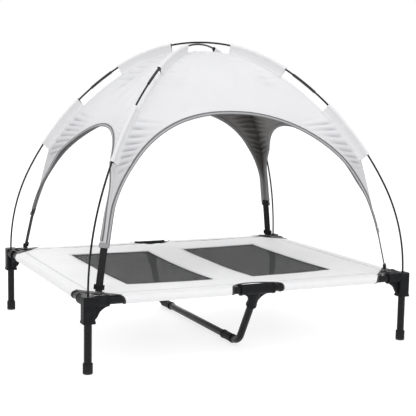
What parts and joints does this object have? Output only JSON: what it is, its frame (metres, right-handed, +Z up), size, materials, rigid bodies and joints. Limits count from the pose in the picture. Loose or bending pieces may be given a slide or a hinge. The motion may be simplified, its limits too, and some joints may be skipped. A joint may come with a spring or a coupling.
{
  "type": "raised dog bed with canopy",
  "caption": "Raised dog bed: cloth deck with mesh windows on a tubular steel frame, under a lift-off domed fabric shade on crossed poles, tied down by webbing straps at the corners.",
  "frame": {"origin": "on the floor, under the middle of the bed", "axes": "+X along the long side to the right, +Y towards the back, +Z up"},
  "size_m": [0.9164, 0.7566, 0.7943],
  "materials": {
    "frame_steel": "satin black powder coat",
    "black_moulding": "fine moulded texture",
    "foot_plastic": "matte",
    "deck_cloth": "coated woven cloth, off-white",
    "mesh": "open weave, charcoal",
    "reinforcement": "woven, black",
    "pole_rod": "smooth black fibreglass",
    "ferrule": "satin black",
    "shade_cloth": "thin plain weave, pale grey",
    "webbing": "ribbed black webbing",
    "slider_plastic": "matte"
  },
  "bodies": {
    "bed": {"back_rail_left": "frame_steel", "back_rail_right": "frame_steel", "corner_connector_bl": "black_moulding", "corner_connector_br": "black_moulding", "corner_connector_fl": "black_moulding", "corner_connector_fr": "black_moulding", "corner_patch_bl": "reinforcement", "corner_patch_br": "reinforcement", "corner_patch_fl": "reinforcement", "corner_patch_fr": "reinforcement", "deck_panel": "deck_cloth", "end_rail_left": "frame_steel", "end_rail_right": "frame_steel", "end_sleeve_left": "deck_cloth", "end_sleeve_right": "deck_cloth", "foot_cap_bl": "foot_plastic", "foot_cap_br": "foot_plastic", "foot_cap_fl": "foot_plastic", "foot_cap_fr": "foot_plastic", "front_rail_left": "frame_steel", "front_rail_right": "frame_steel", "leg_tube_bl": "frame_steel", "leg_tube_br": "frame_steel", "leg_tube_fl": "frame_steel", "leg_tube_fr": "frame_steel", "long_sleeve_back": "deck_cloth", "long_sleeve_front": "deck_cloth", "mesh_window_left": "mesh", "mesh_window_right": "mesh", "support_coupler_back": "black_moulding", "support_coupler_front": "black_moulding", "support_cross_tube": "frame_steel", "support_leg_back": "frame_steel", "support_leg_front": "frame_steel", "tee_connector_back": "black_moulding", "tee_connector_front": "black_moulding"},
    "canopy": {"canopy_strap_bl": "webbing", "canopy_strap_br": "webbing", "canopy_strap_fl": "webbing", "canopy_strap_fr": "webbing", "pole_end_bl": "pole_rod", "pole_end_br": "pole_rod", "pole_end_fl": "pole_rod", "pole_end_fr": "pole_rod", "pole_ferrules_a": "ferrule", "pole_ferrules_b": "ferrule", "pole_middle_a": "pole_rod", "pole_middle_b": "pole_rod", "pole_sleeves": "shade_cloth", "shade_panel_back": "shade_cloth", "shade_panel_front": "shade_cloth", "shade_panel_left": "shade_cloth", "shade_panel_right": "shade_cloth", "strap_anchors": "webbing"},
    "slider_bl": {"strap_slider_bl": "slider_plastic"},
    "slider_br": {"strap_slider_br": "slider_plastic"},
    "slider_fl": {"strap_slider_fl": "slider_plastic"},
    "slider_fr": {"strap_slider_fr": "slider_plastic"}
  },
  "joints": [
    {"name": "canopy_lift", "type": "slide", "parent": "bed", "child": "canopy", "axis": [0, 0, 1], "range_m": [0, 0.15]},
    {"name": "slider_fl_slide", "type": "slide", "parent": "canopy", "child": "slider_fl", "axis": [0.1742, 0.1427, 0.9743], "range_m": [0, 0.06]},
    {"name": "slider_fr_slide", "type": "slide", "parent": "canopy", "child": "slider_fr", "axis": [-0.1742, 0.1427, 0.9743], "range_m": [0, 0.06]},
    {"name": "slider_bl_slide", "type": "slide", "parent": "canopy", "child": "slider_bl", "axis": [0.1742, -0.1427, 0.9743], "range_m": [0, 0.06]},
    {"name": "slider_br_slide", "type": "slide", "parent": "canopy", "child": "slider_br", "axis": [-0.1742, -0.1427, 0.9743], "range_m": [0, 0.06]}
  ]
}
